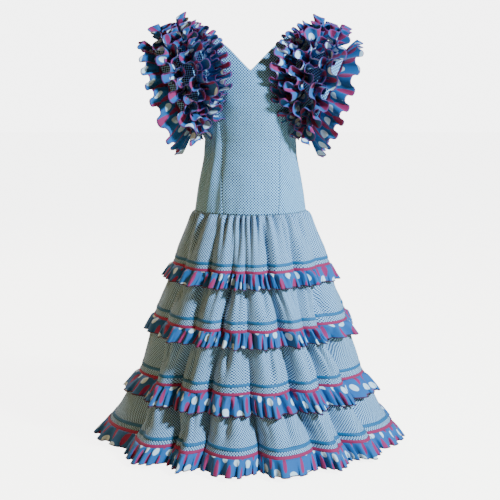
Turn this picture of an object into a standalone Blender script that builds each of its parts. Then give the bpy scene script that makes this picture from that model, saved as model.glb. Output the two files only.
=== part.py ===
"""Flamenco dress, worn shape with no wearer, in metres, +Z up, front towards -Y.

The origin is the top of the shoulder seams, where a wearer carries the dress.
Left and right are the wearer's: +X is the wearer's left.
"""
import bpy
import numpy as np
from mathutils import Matrix, Vector

# Cloth and seam sizes
CLOTH = 0.0012
RIBBON_CLOTH = 0.0010
SEAM_GAP = 0.0003
HALF_SEAM = 0.0002
LEVEL_SEAM = 0.0007
STACK = CLOTH + SEAM_GAP

# Body of the dress: a row for each level, upwards from the hip seam
# level z, half width, depth in front, depth behind
BODICE_LEVELS = (
    (-0.595, 0.1880, 0.1480, 0.1500),
    (-0.540, 0.1820, 0.1400, 0.1450),
    (-0.474, 0.1700, 0.1260, 0.1300),
    (-0.410, 0.1580, 0.1160, 0.1150),
    (-0.358, 0.1545, 0.1160, 0.1080),
    (-0.300, 0.1590, 0.1240, 0.1120),
    (-0.240, 0.1650, 0.1300, 0.1190),
    (-0.180, 0.1690, 0.1290, 0.1220),
    (-0.120, 0.1730, 0.1160, 0.1170),
    (-0.070, 0.1790, 0.0850, 0.0960),
    (-0.030, 0.1860, 0.0450, 0.0580),
    (0.000, 0.1900, 0.0000, 0.0000),
)
# Seam lines: level z, angle of the front princess seam, angle of the back panel's outer edge
SEAM_ANGLES = (
    (-0.595, 29.3, 90.0),
    (-0.400, 38.0, 90.0),
    (-0.250, 41.5, 90.0),
    (-0.240, 42.0, 88.0),
    (-0.215, 44.0, 66.0),
    (-0.165, 49.0, 54.0),
    (-0.120, 51.0, 51.0),
    (-0.050, 56.0, 56.0),
    (0.000, 69.5, 69.5),
)
SHOULDER_EDGE = 0.00075
SHOULDER_DROP = 0.32
NECK_POINT_X = 0.121
NECK_FRONT_Z = -0.120
NECK_BACK_Z = -0.205
UNDERARM_Z = -0.240
PRINCESS_TOP_SHARE = 0.27
STRAP_SHARE = 0.66
ZIP_FLAT_SHARE = 0.06

# Skirt profile: level z, half width, depth as a share of the half width
SKIRT_LEVELS = (
    (-0.595, 0.188, 0.79),
    (-0.618, 0.204, 0.82),
    (-0.660, 0.222, 0.85),
    (-0.722, 0.246, 0.88),
    (-0.778, 0.261, 0.90),
    (-0.848, 0.281, 0.91),
    (-0.890, 0.300, 0.92),
    (-0.933, 0.318, 0.92),
    (-0.960, 0.326, 0.93),
    (-1.040, 0.343, 0.94),
    (-1.125, 0.367, 0.94),
    (-1.155, 0.377, 0.94),
    (-1.220, 0.414, 0.95),
    (-1.276, 0.446, 0.95),
    (-1.328, 0.486, 0.96),
    (-1.380, 0.500, 0.96),
)
# Tiers: name, level of the lower seam, level of the ribbon's centre
TIERS = (
    ("tier_1", -0.778, -0.752),
    ("tier_2", -0.960, -0.929),
    ("tier_3", -1.155, -1.124),
    ("tier_4", -1.328, -1.303),
)
# Folds of the tiers, one row for each trough and the crest after it: tier, angle of the trough
# from the centre front, angle of the crest, depth of the trough, lift of the crest
FOLDS = (
    (1, -62.0, -44.0, 0.012, 0.004),
    (1, -33.0, -22.0, 0.020, 0.004),
    (1, -14.0, -9.0, 0.015, 0.002),
    (1, -4.0, 4.0, 0.010, 0.004),
    (1, 13.5, 20.0, 0.019, 0.006),
    (1, 38.0, 46.0, 0.025, 0.002),
    (1, 62.0, 82.0, 0.011, 0.012),
    (1, 98.0, 114.0, 0.018, 0.004),
    (1, 130.0, 148.0, 0.024, 0.002),
    (1, 168.0, 188.0, 0.016, 0.004),
    (1, 208.0, 228.0, 0.022, 0.003),
    (1, 248.0, 272.0, 0.014, 0.004),
    (2, -66.0, -46.0, 0.020, 0.006),
    (2, -36.0, -24.0, 0.017, 0.006),
    (2, -18.0, -10.0, 0.034, 0.004),
    (2, -2.0, 8.0, 0.015, 0.008),
    (2, 18.0, 26.0, 0.035, 0.006),
    (2, 34.0, 41.0, 0.016, 0.002),
    (2, 47.0, 68.0, 0.032, 0.014),
    (2, 92.0, 106.0, 0.018, 0.016),
    (2, 126.0, 144.0, 0.032, 0.004),
    (2, 164.0, 186.0, 0.022, 0.006),
    (2, 208.0, 226.0, 0.032, 0.004),
    (2, 246.0, 270.0, 0.020, 0.006),
    (3, -62.0, -52.0, 0.034, 0.008),
    (3, -43.0, -30.0, 0.042, 0.008),
    (3, -22.0, -12.0, 0.040, 0.006),
    (3, 0.0, 9.0, 0.026, 0.008),
    (3, 22.5, 30.0, 0.042, 0.008),
    (3, 42.0, 50.0, 0.040, 0.006),
    (3, 60.0, 82.0, 0.026, 0.014),
    (3, 98.0, 114.0, 0.034, 0.008),
    (3, 134.0, 152.0, 0.042, 0.006),
    (3, 172.0, 192.0, 0.028, 0.008),
    (3, 212.0, 230.0, 0.042, 0.006),
    (3, 250.0, 274.0, 0.030, 0.008),
    (4, -60.0, -43.0, 0.048, 0.010),
    (4, -35.0, -26.0, 0.056, 0.002),
    (4, -20.5, -6.0, 0.058, 0.010),
    (4, 3.5, 11.0, 0.054, 0.020),
    (4, 27.5, 33.0, 0.044, 0.010),
    (4, 44.0, 51.0, 0.056, 0.004),
    (4, 60.0, 80.0, 0.034, 0.010),
    (4, 96.0, 112.0, 0.044, 0.010),
    (4, 132.0, 150.0, 0.056, 0.008),
    (4, 170.0, 190.0, 0.040, 0.010),
    (4, 210.0, 228.0, 0.056, 0.008),
    (4, 248.0, 274.0, 0.040, 0.010),
)
FOLD_COUNT = 12
FOLD_SHARPNESS = 0.9
FOLD_COLUMNS = 4
TIER_TOP_Z = -0.595
RUFFLE_COLUMNS_PER_WAVE = 4
RIBBON_HEIGHT = 0.010
BINDING_HEIGHT = 0.011
# Ruffles of the tiers: name, depth of the ruffle, stand-off at its edge, wave depth,
# step out at its seam
RUFFLES = (
    ("ruffle_1", 0.048, 0.012, 0.014, 0.0020),
    ("ruffle_2", 0.048, 0.012, 0.014, 0.0020),
    ("ruffle_3", 0.058, 0.012, 0.015, 0.0020),
    ("ruffle_4", 0.048, 0.024, 0.019, 0.0010),
)
RUFFLE_ROWS = (0.0, 1.0)

# Sleeves, for the wearer's left: the cuff ring and the frills on it
CUFF_CENTRE = (0.258, 0.0, -0.192)
CUFF_UP = (0.414, 0.0, 0.910)
CUFF_OUT = (0.910, 0.0, -0.414)
CUFF_HALF_HEIGHT = 0.150
CUFF_HALF_DEPTH = 0.105
SLEEVE_START = 0.0030
SLEEVE_COLUMNS = 28
SLEEVE_ROWS = (0.0, 0.45, 1.0)
FRILL_WAVES = 7
FRILL_COLUMNS_PER_WAVE = 4
FRILL_ROWS = (0.0, 1.0)
# Frills: name, place along the sleeve, half span in degrees, then the reach away from the
# sleeve and the lean towards the cuff, each at the top, the sides and the bottom, wave depth,
# step out at its seam
FRILLS = (
    ("frill_1", 0.06, 132.0, 0.050, 0.078, 0.050, -0.024, -0.078, 0.010, 0.014, 0.0034),
    ("frill_2", 0.34, 146.0, 0.074, 0.088, 0.060, -0.006, -0.016, 0.022, 0.016, 0.0037),
    ("frill_3", 0.66, 152.0, 0.070, 0.080, 0.068, 0.010, 0.030, 0.046, 0.015, 0.0013),
    ("frill_4", 1.00, 180.0, 0.052, 0.052, 0.062, 0.030, 0.066, 0.074, 0.012, 0.0),
)

# Centre-back zip
CHAIN_HALF_WIDTH = 0.004
CHAIN_CLOTH = 0.0010
CHAIN_INSET = 0.0019
SLIDER_SIZE = (0.008, 0.006, 0.009)
LUG_X = 0.0030
LUG_SIZE = (0.0012, 0.0040, 0.0040)
PIN_RADIUS = 0.0007
PIN_LENGTH = 0.0070
EYE_INNER = 0.0011
EYE_OUTER = 0.0018
EYE_WIDTH = 0.0040
TAB_SIZE = (0.0040, 0.0012, 0.0200)
ROUND_SEGMENTS = 16

# Base colours: red, green, blue
COLOURS = {
    "gingham": (0.46, 0.58, 0.72),
    "ribbon": (0.0, 0.14, 0.42),
    "binding": (0.54, 0.03, 0.12),
    "print": (0.04, 0.23, 0.58),
    "zip_tape": (0.50, 0.62, 0.76),
    "zip_metal": (0.60, 0.62, 0.65),
}


def clear_scene():
    """Empty the scene of every object it starts with."""
    for item in list(bpy.data.objects):
        bpy.data.objects.remove(item, do_unlink=True)


def make_collection(name):
    """A collection linked to the scene."""
    group = bpy.data.collections.new(name)
    bpy.context.scene.collection.children.link(group)
    return group


def make_material(name, colour_name):
    """A plain material in one of the named colours."""
    material = bpy.data.materials.new(name)
    material.use_nodes = True
    shader = material.node_tree.nodes["Principled BSDF"]
    red, green, blue = COLOURS[colour_name]
    shader.inputs["Base Color"].default_value = (red, green, blue, 1.0)
    shader.inputs["Roughness"].default_value = 0.85
    return material


def column(table, index):
    """One column of a table, ordered by rising level."""
    rows = sorted(table)
    return np.array([row[0] for row in rows]), np.array([row[index] for row in rows])


def at_level(table, index, z):
    """A table's column read between its rows."""
    levels, values = column(table, index)
    return np.interp(z, levels, values)


def smooth(x):
    """Ease from 0 to 1."""
    x = np.clip(x, 0.0, 1.0)
    return x * x * (3.0 - 2.0 * x)


def grid_normals(points, closed):
    """Outward direction at each point of a grid, stretched so that flat faces move evenly.

    The grid has rows downwards and columns anticlockwise as seen from above.
    """
    rows, columns = points.shape[:2]
    ahead = np.roll(points, -1, axis=1) if closed else points[:, 1:]
    here = points if closed else points[:, :-1]
    across = (ahead - here)[:-1] + (ahead - here)[1:]
    down = (here[1:] - here[:-1]) + (ahead[1:] - ahead[:-1])
    faces = np.cross(down, across)
    faces /= np.linalg.norm(faces, axis=2, keepdims=True)
    total = np.zeros(points.shape)
    cells = []
    for row_step in (0, 1):
        for column_step in (0, 1):
            part = np.zeros(points.shape)
            if closed:
                part[row_step:rows - 1 + row_step] = np.roll(faces, column_step, axis=1)
            else:
                part[row_step:rows - 1 + row_step, column_step:columns - 1 + column_step] = faces
            cells.append(part)
            total += part
    total /= np.linalg.norm(total, axis=2, keepdims=True)
    count = sum((np.linalg.norm(part, axis=2) > 0.5).astype(float) for part in cells)
    lean = sum((part * total).sum(axis=2) for part in cells) / count
    return total / np.clip(lean, 0.6, 1.0)[..., None]


def sheet(name, points, thickness, closed, colour_name, group):
    """A cloth wall of the given thickness about a grid of points."""
    rows, columns = points.shape[:2]
    faces = []
    for row in range(rows - 1):
        for col in range(columns if closed else columns - 1):
            following = (col + 1) % columns
            faces.append((row * columns + col, (row + 1) * columns + col,
                          (row + 1) * columns + following, row * columns + following))
    mesh = bpy.data.meshes.new(name)
    mesh.from_pydata([tuple(point) for point in points.reshape(-1, 3)], [], faces)
    mesh.update()
    item = bpy.data.objects.new(name, mesh)
    group.objects.link(item)
    mesh.materials.append(make_material(name, colour_name))
    wall = item.modifiers.new("wall", "SOLIDIFY")
    wall.thickness = thickness
    wall.offset = 0.0
    wall.use_even_offset = True
    wall.use_quality_normals = True
    return item


def bodice_point(angle, z, behind):
    """A point of the bodice at an angle from the centre front or back, on one level."""
    half_width = at_level(BODICE_LEVELS, 1, z)
    depth = at_level(BODICE_LEVELS, 3 if behind else 2, z)
    x = half_width * np.sin(angle)
    y = depth * np.cos(angle) + SHOULDER_EDGE * smooth((z + 0.03) / 0.03)
    drop = SHOULDER_DROP * np.maximum(np.abs(x) - NECK_POINT_X, 0.0) * smooth((z + 0.12) / 0.12)
    return np.stack([x, y if behind else -y, z - drop], axis=-1)


def panel_levels(top, share):
    """Levels down one column, from its own top to the hip seam."""
    return top + (TIER_TOP_Z - top) * share


def seam_inset(half_width):
    """Half a seam gap as an angle."""
    return HALF_SEAM / half_width


def front_top(share):
    """Top of the front panel: the V neck, then the strap."""
    share = np.abs(share)
    neck = NECK_FRONT_Z * (1.0 - np.clip(share / STRAP_SHARE, 0.0, 1.0) ** 1.12)
    return np.where(share < STRAP_SHARE, neck, 0.0)


def back_top(share):
    """Top of a back panel: level over the zip, then the V, then the strap."""
    run = np.clip((share - ZIP_FLAT_SHARE) / (STRAP_SHARE - ZIP_FLAT_SHARE), 0.0, 1.0)
    return NECK_BACK_Z * (1.0 - run ** 1.05)


PANEL_SHARES = np.array((0.0, 0.06, 0.12, 0.19, 0.27, 0.36, 0.46, 0.57, 0.68, 0.84, 1.0))


def bodice_front(group):
    """Centre front, with the V neck and the front of both shoulders."""
    steps = np.array((-1.0, -0.83, -0.66, -0.44, -0.22, 0.0, 0.22, 0.44, 0.66, 0.83, 1.0))
    share, step = np.meshgrid(PANEL_SHARES, steps, indexing="ij")
    z = panel_levels(front_top(step), share)
    outer = np.radians(at_level(SEAM_ANGLES, 1, z)) - seam_inset(0.17)
    return sheet("bodice_front", bodice_point(step * outer, z, False), CLOTH, False, "gingham", group)


def bodice_side(side, group):
    """Side front, from the princess seam to the side seam under the arm."""
    name = "bodice_side_left" if side > 0 else "bodice_side_right"
    steps = np.array((0.0, 0.3, 0.65, 1.0))
    below = PANEL_SHARES[PANEL_SHARES >= PRINCESS_TOP_SHARE]
    below = (below - PRINCESS_TOP_SHARE) / (1.0 - PRINCESS_TOP_SHARE)
    share, step = np.meshgrid(below, steps, indexing="ij")
    princess_top = TIER_TOP_Z * PRINCESS_TOP_SHARE
    top = princess_top + (UNDERARM_Z - princess_top) * np.sin(step * np.pi / 2.0)
    z = panel_levels(top, share)
    inner = np.radians(at_level(SEAM_ANGLES, 1, z)) + seam_inset(0.13)
    outer = np.radians(90.0) - seam_inset(0.13)
    points = bodice_point(inner + (outer - inner) * step, z, False)
    return sheet(name, face_out(points, side), CLOTH, False, "gingham", group)


def face_out(points, side):
    """Put a panel on one side and turn its columns so that it faces outwards."""
    if side > 0:
        return points
    return (points * (-1.0, 1.0, 1.0))[:, ::-1]


def back_panel_points():
    """The wearer's left back panel, columns from the centre back to the side seam."""
    steps = np.array((0.0, 0.06, 0.24, 0.45, 0.66, 0.83, 1.0))
    share, step = np.meshgrid(PANEL_SHARES, steps, indexing="ij")
    z = panel_levels(back_top(step), share)
    inner = seam_inset(0.13)
    outer = np.radians(at_level(SEAM_ANGLES, 2, z)) - seam_inset(0.13)
    return bodice_point(inner + (outer - inner) * step, z, True)


def bodice_back(side, group):
    """Back panel of one side, from the centre-back seam to the side seam."""
    name = "bodice_back_left" if side > 0 else "bodice_back_right"
    points = back_panel_points()[:, ::-1]
    return sheet(name, face_out(points, side), CLOTH, False, "gingham", group)


def zip_chain(group):
    """Closed zip along the inside of the centre-back seam."""
    seam = back_panel_points()[:9, 0]
    y = seam[:, 1] - CHAIN_INSET
    right = np.stack([np.full(len(y), -CHAIN_HALF_WIDTH), y, seam[:, 2]], axis=-1)
    left = np.stack([np.full(len(y), CHAIN_HALF_WIDTH), y, seam[:, 2]], axis=-1)
    points = np.stack([left, right], axis=1)
    return sheet("zip_chain", points, CHAIN_CLOTH, False, "zip_tape", group)


def block(name, size, place, group):
    """A block with its edges eased."""
    bpy.ops.mesh.primitive_cube_add(size=1.0, location=place)
    item = bpy.context.active_object
    item.name = name
    item.data.transform(Matrix.Diagonal((*size, 1.0)))
    move_to(item, group)
    return item


def rod(name, radius, length, place, group):
    """A round rod along X."""
    bpy.ops.mesh.primitive_cylinder_add(vertices=ROUND_SEGMENTS, radius=radius, depth=length)
    item = bpy.context.active_object
    item.name = name
    item.data.transform(Matrix.Rotation(np.pi / 2.0, 4, "Y"))
    item.location = place
    move_to(item, group)
    return item


def move_to(item, group):
    """Keep an object in one collection only."""
    for old in list(item.users_collection):
        old.objects.unlink(item)
    group.objects.link(item)


def combine(item, tool, operation):
    """Join or cut one solid with another."""
    tool.hide_render = True
    tool.display_type = "WIRE"
    step = item.modifiers.new(operation.lower(), "BOOLEAN")
    step.operation = operation
    step.solver = "EXACT"
    step.object = tool


def zip_hinge_place():
    """Centre of the pin on which the pull swings."""
    top = back_panel_points()[0, 0]
    slider_z = top[2] + SEAM_GAP + SLIDER_SIZE[2] / 2.0
    slider_y = top[1] - 0.0005
    pin_y = slider_y + SLIDER_SIZE[1] / 2.0 + EYE_OUTER + SEAM_GAP
    return Vector((0.0, slider_y, slider_z)), Vector((0.0, pin_y, slider_z + 0.001))


def zip_slider(group, cutters):
    """Slider at the top of the closed zip, with two lugs and a pin."""
    place, hinge = zip_hinge_place()
    item = block("zip_slider", SLIDER_SIZE, place, group)
    item.data.materials.append(make_material("zip_slider", "zip_metal"))
    for side in (-1.0, 1.0):
        lug_place = (side * LUG_X, hinge.y - 0.0012, hinge.z)
        combine(item, block("slider_lug", LUG_SIZE, lug_place, cutters), "UNION")
    combine(item, rod("slider_pin", PIN_RADIUS, PIN_LENGTH - 0.0004, hinge, cutters), "UNION")
    return item


def zip_pull(group, cutters):
    """Pull tab hanging from the slider's pin, its origin on the pin's axis."""
    hinge = zip_hinge_place()[1]
    item = rod("zip_pull", EYE_OUTER, EYE_WIDTH, hinge, group)
    item.data.materials.append(make_material("zip_pull", "zip_metal"))
    tab_z = hinge.z - EYE_INNER - 0.0003 - TAB_SIZE[2] / 2.0
    combine(item, block("pull_tab", TAB_SIZE, (0.0, hinge.y, tab_z), cutters), "UNION")
    combine(item, rod("pull_eye", EYE_INNER, 2.0 * EYE_WIDTH, hinge, cutters), "DIFFERENCE")
    return item


def fold_angles(number, place):
    """Angle in degrees at each place among a tier's folds: a trough at whole numbers, a crest between."""
    rows = [row for row in FOLDS if row[0] == number]
    knots = [angle for row in rows for angle in row[1:3]] + [rows[0][1] + 360.0]
    return np.interp(place, np.arange(len(knots)) / 2.0, knots)


def fold_push(number, place):
    """Outward push at each place: sharp troughs of their own depth, round crests between them."""
    rows = [row for row in FOLDS if row[0] == number]
    before = np.floor(place).astype(int)
    share = place - before
    nearest = np.where(share < 0.5, before, before + 1) % FOLD_COUNT
    depth = np.array([row[3] for row in rows])[nearest]
    lift = np.array([row[4] for row in rows])[before]
    crest = np.sin(np.pi * share) ** FOLD_SHARPNESS
    return lift * crest - depth * (1.0 - crest)


def tier_surface(number, place, z, top_z, full_z):
    """A tier's points: the folds of the seam above ease into its own by the ribbon's level."""
    ease = smooth((top_z - z) / (top_z - full_z))
    angles = fold_angles(number, place)
    push = fold_push(number, place)
    above = fold_angles(number - 1, place) if number > 1 else angles
    push_above = fold_push(number - 1, place) if number > 1 else 0.0
    angles = np.radians(above * (1.0 - ease) + angles * ease)
    push = push_above * (1.0 - ease) + push * ease
    half_width = at_level(SKIRT_LEVELS, 1, z)
    depth = half_width * at_level(SKIRT_LEVELS, 2, z)
    x = (half_width + push) * np.sin(angles)
    y = -(depth + push) * np.cos(angles)
    return np.stack([x, y, np.full(len(angles), z)], axis=-1)


def tier_grid(number, tier, top_z):
    """Mid-surface of a gathered tier, rows at its seams and at the edges of its trims."""
    name, low_z, ribbon_z = tier
    place = np.arange(FOLD_COUNT * FOLD_COLUMNS) / FOLD_COLUMNS
    ribbon_top = ribbon_z + RIBBON_HEIGHT / 2.0
    levels = (top_z - LEVEL_SEAM, top_z + (ribbon_z - top_z) * 0.40,
              ribbon_top, ribbon_z - RIBBON_HEIGHT / 2.0, low_z + BINDING_HEIGHT, low_z)
    rows = [tier_surface(number, place, z, top_z - LEVEL_SEAM, ribbon_top) for z in levels]
    return np.array(rows)


def level_row(grid, z):
    """A row of points on a grid at one level, read between its rows."""
    heights = grid[:, 0, 2]
    upper = int(np.searchsorted(-heights, -z, side="right")) - 1
    upper = min(max(upper, 0), len(heights) - 2)
    share = (z - heights[upper]) / (heights[upper + 1] - heights[upper])
    return grid[upper] + (grid[upper + 1] - grid[upper]) * share


def halve_columns(grid):
    """The same grid with a column added midway between each pair."""
    between = (grid + np.roll(grid, -1, axis=1)) / 2.0
    return np.stack([grid, between], axis=2).reshape(grid.shape[0], -1, 3)


def tier_trims(number, grid, group):
    """Ribbon and binding laid on a tier, made from its own points."""
    lifted = grid + grid_normals(grid, True) * (CLOTH / 2.0 + SEAM_GAP + RIBBON_CLOTH / 2.0)
    sheet("ribbon_%d" % number, lifted[2:4], RIBBON_CLOTH, True, "ribbon", group)
    lifted = grid + grid_normals(grid, True) * STACK
    sheet("binding_%d" % number, lifted[4:6], CLOTH, True, "binding", group)


def ruffle_under(grid, below):
    """What a ruffle hangs over: the next tier, or for the hem the tier's own end carried down."""
    if below is not None:
        return below
    end = grid[-1].copy()
    end[:, 2] -= HALF_SEAM
    foot = end * (1.03, 1.03, 1.0)
    foot[:, 2] -= 0.09
    return np.array([end, foot])


def ruffle_wave(count, phase):
    """Waves from -1 to +1, of uneven depth, a few columns to each."""
    share = np.arange(count) / count
    uneven = 0.78 + 0.22 * np.sin(2.0 * np.pi * 4.0 * share + 1.3 * phase)
    return np.cos(2.0 * np.pi * np.arange(count) / RUFFLE_COLUMNS_PER_WAVE) * uneven


def tier_ruffle(number, row, grid, below, group):
    """Gathered ruffle under the binding, hanging clear of what is beneath it."""
    name, depth, stand_off, wave_depth, step_out = row
    under = halve_columns(ruffle_under(grid, below))
    top_z = under[0, 0, 2] - SEAM_GAP
    count = under.shape[1]
    wave = 0.5 + 0.5 * ruffle_wave(count, 0.7 * number)
    stepped = under + grid_normals(under, True) * (1.0, 1.0, 0.0) * step_out
    rows = []
    for run in RUFFLE_ROWS:
        start = level_row(stepped, top_z - depth * run)
        outward = start * (1.0, 1.0, 0.0)
        outward /= np.linalg.norm(outward, axis=1, keepdims=True)
        lift = (stand_off + wave_depth * wave) * run
        rows.append(start + outward * lift[:, None])
    sheet(name, np.array(rows), CLOTH, True, "print", group)


def skirt(group):
    """Four gathered tiers with their ribbons, bindings and ruffles."""
    grids = []
    top_z = TIER_TOP_Z
    for number, tier in enumerate(TIERS, start=1):
        grid = tier_grid(number, tier, top_z)
        sheet(tier[0], grid, CLOTH, True, "gingham", group)
        grids.append(grid)
        top_z = tier[1]
    for index, grid in enumerate(grids):
        below = grids[index + 1] if index + 1 < len(grids) else None
        tier_trims(index + 1, grid, group)
        tier_ruffle(index + 1, RUFFLES[index], grid, below, group)


def armhole_ring(angles):
    """Edge of the bodice round the wearer's left arm: 0 is the shoulder, a quarter turn the front."""
    height = 0.5 + 0.5 * np.cos(angles)
    z = UNDERARM_Z * (1.0 - height)
    level = np.where(z < -0.2395, -0.2395, z)
    front = np.radians(at_level(SEAM_ANGLES, 2, level))
    behind = np.sin(angles) < 0.0
    before = bodice_point(front, z, False)
    after = bodice_point(front, z, True)
    return np.where(behind[:, None], after, before)


def cuff_ring(angles):
    """Open end of the wearer's left sleeve."""
    up = np.array(CUFF_UP) * CUFF_HALF_HEIGHT
    ahead = np.array((0.0, -1.0, 0.0)) * CUFF_HALF_DEPTH
    return np.array(CUFF_CENTRE) + np.outer(np.cos(angles), up) + np.outer(np.sin(angles), ahead)


def sleeve_point(angles, run):
    """A ring of the sleeve between the armhole and the cuff."""
    start = armhole_ring(angles) + np.array((SLEEVE_START, 0.0, 0.0))
    bulge = np.sin(np.pi * run) * 0.012
    radial = np.outer(np.cos(angles), CUFF_UP) + np.outer(np.sin(angles), (0.0, -1.0, 0.0))
    return start * (1.0 - run) + cuff_ring(angles) * run + radial * bulge


def round_value(angles, top, side, bottom):
    """A value that changes smoothly from the top over the sides to the bottom."""
    middle = (top + 2.0 * side + bottom) / 4.0
    tilt = (top - bottom) / 2.0
    oval = (top + bottom - 2.0 * side) / 4.0
    return middle + tilt * np.cos(angles) + oval * np.cos(2.0 * angles)


def sleeve(side, group):
    """Short flared sleeve."""
    name = "sleeve_left" if side > 0 else "sleeve_right"
    angles = 2.0 * np.pi * np.arange(SLEEVE_COLUMNS) / SLEEVE_COLUMNS
    points = np.array([sleeve_point(angles, run) for run in SLEEVE_ROWS])
    return sheet(name, face_out(points, side), CLOTH, True, "gingham", group)


def sleeve_frill(row, side, group):
    """One gathered frill standing off the sleeve."""
    name, place, span, *reaches, depth, step_out = row
    closed = span >= 180.0
    count = FRILL_WAVES * FRILL_COLUMNS_PER_WAVE
    share = np.arange(count) / count if closed else np.linspace(0.0, 1.0, count + 1)
    angles = 2.0 * np.pi * share if closed else np.radians(span) * (2.0 * share - 1.0)
    wave = np.cos(2.0 * np.pi * FRILL_WAVES * share)
    radial = np.outer(np.cos(angles), CUFF_UP) + np.outer(np.sin(angles), (0.0, -1.0, 0.0))
    lean = np.array(CUFF_OUT)
    root = sleeve_point(angles, place) + radial * step_out
    if closed:
        root = sleeve_point(angles, place) + np.outer(np.ones(count), lean) * (SEAM_GAP + CLOTH)
    reach = round_value(angles, *reaches[:3])
    towards = round_value(angles, *reaches[3:])
    rows = []
    for run in FRILL_ROWS:
        out = radial * (reach * run)[:, None]
        along = np.outer(towards * run + wave * depth * run ** 0.9, lean)
        rows.append(root + out + along)
    points = np.array(rows)
    points = face_out(points, side)
    suffix = "_left" if side > 0 else "_right"
    return sheet(name + suffix, points, CLOTH, closed, "print", group)


def main():
    """Build the dress."""
    clear_scene()
    group = make_collection("flamenco_dress")
    cutters = make_collection("cutters")
    bodice_front(group)
    for side in (1.0, -1.0):
        bodice_side(side, group)
        bodice_back(side, group)
    zip_chain(group)
    zip_slider(group, cutters)
    zip_pull(group, cutters)
    skirt(group)
    for side in (1.0, -1.0):
        sleeve(side, group)
        for row in FRILLS:
            sleeve_frill(row, side, group)


main()
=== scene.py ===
"""Looks of the flamenco dress: dotted cotton, printed ruffles, ribbons and bindings.

Lengths are in metres where no other unit is named. The front of the dress faces -Y, and +X is
the wearer's left.
"""
import math
import bpy
import numpy as np
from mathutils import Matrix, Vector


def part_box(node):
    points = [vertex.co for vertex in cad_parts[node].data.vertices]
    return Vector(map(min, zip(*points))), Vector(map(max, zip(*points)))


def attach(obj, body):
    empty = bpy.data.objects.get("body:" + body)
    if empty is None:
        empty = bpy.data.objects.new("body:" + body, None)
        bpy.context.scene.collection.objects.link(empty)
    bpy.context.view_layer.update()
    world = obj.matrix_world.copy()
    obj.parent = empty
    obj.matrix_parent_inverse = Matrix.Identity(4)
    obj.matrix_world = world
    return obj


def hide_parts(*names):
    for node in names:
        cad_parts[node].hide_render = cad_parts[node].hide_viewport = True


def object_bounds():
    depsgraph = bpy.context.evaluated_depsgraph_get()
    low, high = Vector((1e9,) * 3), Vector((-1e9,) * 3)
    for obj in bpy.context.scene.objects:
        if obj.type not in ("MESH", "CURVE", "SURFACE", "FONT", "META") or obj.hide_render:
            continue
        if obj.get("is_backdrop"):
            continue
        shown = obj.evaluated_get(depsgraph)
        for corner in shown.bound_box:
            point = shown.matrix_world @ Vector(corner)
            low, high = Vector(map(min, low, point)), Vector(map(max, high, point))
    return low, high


bl_info = {
    "name": "Flamenco dress looks",
    "version": (1, 0, 0),
    "blender": (4, 5, 0),
    "location": "View3D > Sidebar > Dress",
    "description": "Builds the cloth, trims and frills of a flamenco dress on its frame",
    "category": "Object",
}

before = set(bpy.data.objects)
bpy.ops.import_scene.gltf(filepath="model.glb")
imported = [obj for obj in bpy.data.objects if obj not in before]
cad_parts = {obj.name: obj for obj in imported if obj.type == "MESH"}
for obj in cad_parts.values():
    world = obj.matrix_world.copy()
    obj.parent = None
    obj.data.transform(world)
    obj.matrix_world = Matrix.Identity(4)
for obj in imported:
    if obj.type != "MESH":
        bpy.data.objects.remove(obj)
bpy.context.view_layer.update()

# Body of the dress: level z, half width, depth in front, depth behind
BODICE_LEVELS = (
    (-0.595, 0.1880, 0.1480, 0.1500),
    (-0.540, 0.1820, 0.1400, 0.1450),
    (-0.474, 0.1700, 0.1260, 0.1300),
    (-0.410, 0.1580, 0.1160, 0.1150),
    (-0.358, 0.1545, 0.1160, 0.1080),
    (-0.300, 0.1590, 0.1240, 0.1120),
    (-0.240, 0.1650, 0.1300, 0.1190),
    (-0.180, 0.1690, 0.1290, 0.1220),
    (-0.120, 0.1730, 0.1160, 0.1170),
    (-0.070, 0.1790, 0.0850, 0.0960),
    (-0.030, 0.1860, 0.0450, 0.0580),
    (0.000, 0.1900, 0.0000, 0.0000),
)
# Seams: level z, angle of the front princess seam, angle of the back panel's outer edge
SEAM_ANGLES = (
    (-0.595, 29.3, 90.0),
    (-0.400, 38.0, 90.0),
    (-0.250, 41.5, 90.0),
    (-0.240, 42.0, 88.0),
    (-0.215, 44.0, 66.0),
    (-0.165, 49.0, 54.0),
    (-0.120, 51.0, 51.0),
    (-0.050, 56.0, 56.0),
    (0.000, 69.5, 69.5),
)
MILLIMETRE = 0.001
HIP_Z = -0.595
# Shoulder: how far its edge stands out, the drop beside the neck, and the heights both take
SHOULDER_EDGE = 0.00075
SHOULDER_EDGE_REACH = 0.03
SHOULDER_DROP = 0.32
SHOULDER_DROP_REACH = 0.12
NECK_POINT_X = 0.121
NECK_FRONT_Z = -0.120
NECK_BACK_Z = -0.205
# Bend of the neck's edges, where 1 is straight
NECK_FRONT_BEND = 1.12
NECK_BACK_BEND = 1.05
UNDERARM_Z = -0.240
UNDERARM_EDGE_Z = -0.2395
PRINCESS_TOP_SHARE = 0.27
STRAP_SHARE = 0.66
ZIP_FLAT_SHARE = 0.06
SEAM_HALF_GAP = 0.0003
# Radii that turn the half gap into an angle
FRONT_RADIUS = 0.17
SIDE_RADIUS = 0.13
SEAM_ROLL = 0.0005
SEAM_ROLL_WIDTH = 0.0030
# Puckers above the hip seam, faint waviness, and the height below the shoulder that stays calm
PUCKER = 0.0007
PUCKER_REACH = 0.022
WAVINESS = 0.0008
CALM_HEIGHT = 0.10
# Rows and columns of the panels, and the flat width of the front for its width seen from ahead
FRONT_GRID = (96, 105)
SIDE_GRID = (90, 41)
BACK_GRID = (86, 61)
FRONT_SPREAD = 1.02

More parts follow.
